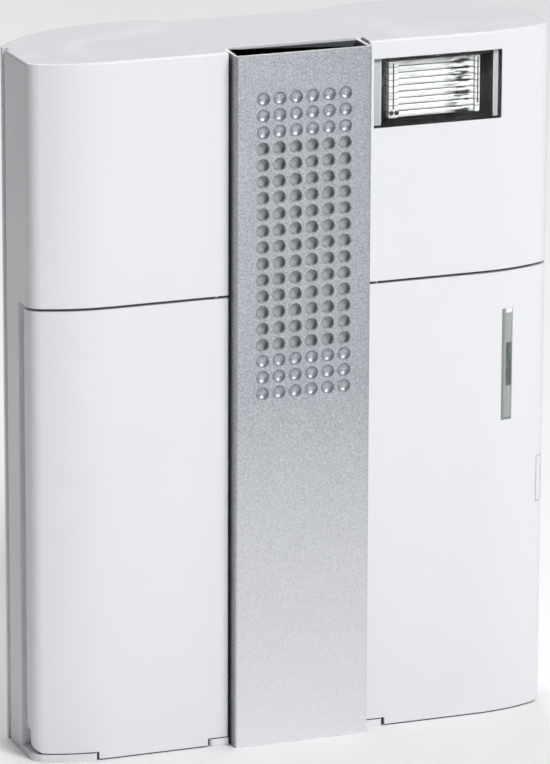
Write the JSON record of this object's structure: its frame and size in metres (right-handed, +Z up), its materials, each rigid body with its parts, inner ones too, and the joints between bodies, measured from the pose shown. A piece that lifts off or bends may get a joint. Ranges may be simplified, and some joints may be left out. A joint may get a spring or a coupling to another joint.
{
  "type": "doorbell chime box",
  "caption": "Wall-hung wireless doorbell chime box: curved housing, perforated grille strip over a loudspeaker, flash lamp window, and two hinged doors over a battery bay and a control bay.",
  "frame": {"origin": "middle of the bottom of the box, half way between the wall lands and the face of the grille strip", "axes": "+Z up, the front faces -Y and the wall side faces +Y, +X to the right as seen from the front"},
  "size_m": [0.1406, 0.0452, 0.1823],
  "materials": {
    "housing_white": "smooth white moulded plastic, satin gloss",
    "strip_silver": "silver metallic paint with fine speckle",
    "inner_white": "fine-textured moulded plastic",
    "inner_dark": "matte black moulded plastic",
    "clear_plastic": "clear moulded plastic",
    "lens_plastic": "ribbed clear diffuser",
    "pale_light_plastic": "translucent pale grey-green plastic",
    "tube_glass": "drawn glass tube",
    "reflector_metal": "polished sheet reflector",
    "spring_steel": "nickel-plated spring sheet",
    "screw_steel": "zinc-plated steel",
    "sheet_steel": "pressed sheet steel",
    "magnet_ferrite": "sintered magnet, matte",
    "cone_paper": "pressed black paper",
    "surround_rubber": "soft black rubber",
    "grille_cloth": "black acoustic cloth",
    "board_laminate": "green board lacquer",
    "chip_black": "moulded component black",
    "capacitor_sleeve": "shrink sleeve over a metal can",
    "coil_black": "dipped winding",
    "cell_sleeve": "plain film sleeve over a metal can",
    "control_grey": "fine-textured grey plastic",
    "wire_sleeve": "insulated wire"
  },
  "bodies": {
    "housing": {"back_shell": "housing_white", "front_cover": "housing_white", "grille_strip": "strip_silver", "grille_cloth": "grille_cloth", "speaker_gasket": "surround_rubber", "speaker_basket": "sheet_steel", "speaker_magnet": "magnet_ferrite", "speaker_surround": "surround_rubber", "speaker_cone": "cone_paper", "dust_cap": "cone_paper", "speaker_retainer": "sheet_steel", "speaker_screws": "screw_steel", "case_screws": "screw_steel", "flash_window": "clear_plastic", "flash_bracket": "inner_dark", "flash_reflector": "reflector_metal", "flash_tube": "tube_glass", "flash_electrodes": "spring_steel", "flash_lens": "lens_plastic", "battery_tray": "inner_white", "battery_cells": "cell_sleeve", "contact_plates": "spring_steel", "contact_leaves": "spring_steel", "control_panel": "inner_white", "control_board": "board_laminate", "volume_potentiometer": "sheet_steel", "button_switches": "chip_black", "slide_switch": "sheet_steel", "signal_led": "lens_plastic", "main_board": "board_laminate", "board_screws": "screw_steel", "flash_capacitor": "capacitor_sleeve", "trigger_coil": "coil_black", "controller_chips": "chip_black", "radio_module": "sheet_steel", "antenna": "wire_sleeve"},
    "left_door_body": {"left_door": "housing_white", "left_hinge_pins": "screw_steel"},
    "right_door_body": {"right_door": "housing_white", "right_hinge_pins": "screw_steel", "light_bar": "pale_light_plastic"},
    "release_key_body": {"release_key": "housing_white"},
    "volume_knob_body": {"volume_knob": "control_grey"},
    "melody_button_body": {"melody_button": "control_grey"},
    "learn_button_body": {"learn_button": "control_grey"},
    "mode_slider_body": {"mode_slider": "inner_dark"}
  },
  "joints": [
    {"name": "left_door_hinge", "type": "hinge", "parent": "housing", "child": "left_door_body", "pos_m": [-0.0216, -0.0174, 0.06], "axis": [0, 0, 1], "range_deg": [0, 100]},
    {"name": "right_door_hinge", "type": "hinge", "parent": "housing", "child": "right_door_body", "pos_m": [0.0216, -0.0174, 0.06], "axis": [0, 0, -1], "range_deg": [0, 100]},
    {"name": "release_key_press", "type": "slide", "parent": "right_door_body", "child": "release_key_body", "axis": [0, 1, 0], "range_m": [0, 0.0008], "stiffness_N_per_m": 800, "springref_m": -0.0008},
    {"name": "volume_turn", "type": "hinge", "parent": "housing", "child": "volume_knob_body", "pos_m": [0.034, -0.01, 0.09205], "axis": [0, 1, 0], "range_deg": [-140, 140]},
    {"name": "melody_press", "type": "slide", "parent": "housing", "child": "melody_button_body", "axis": [0, 1, 0], "range_m": [0, 0.0008], "stiffness_N_per_m": 800, "springref_m": -0.0008},
    {"name": "learn_press", "type": "slide", "parent": "housing", "child": "learn_button_body", "axis": [0, 1, 0], "range_m": [0, 0.0008], "stiffness_N_per_m": 800, "springref_m": -0.0008},
    {"name": "mode_slide", "type": "slide", "parent": "housing", "child": "mode_slider_body", "axis": [0, 0, 1], "range_m": [-0.002, 0.002]}
  ]
}
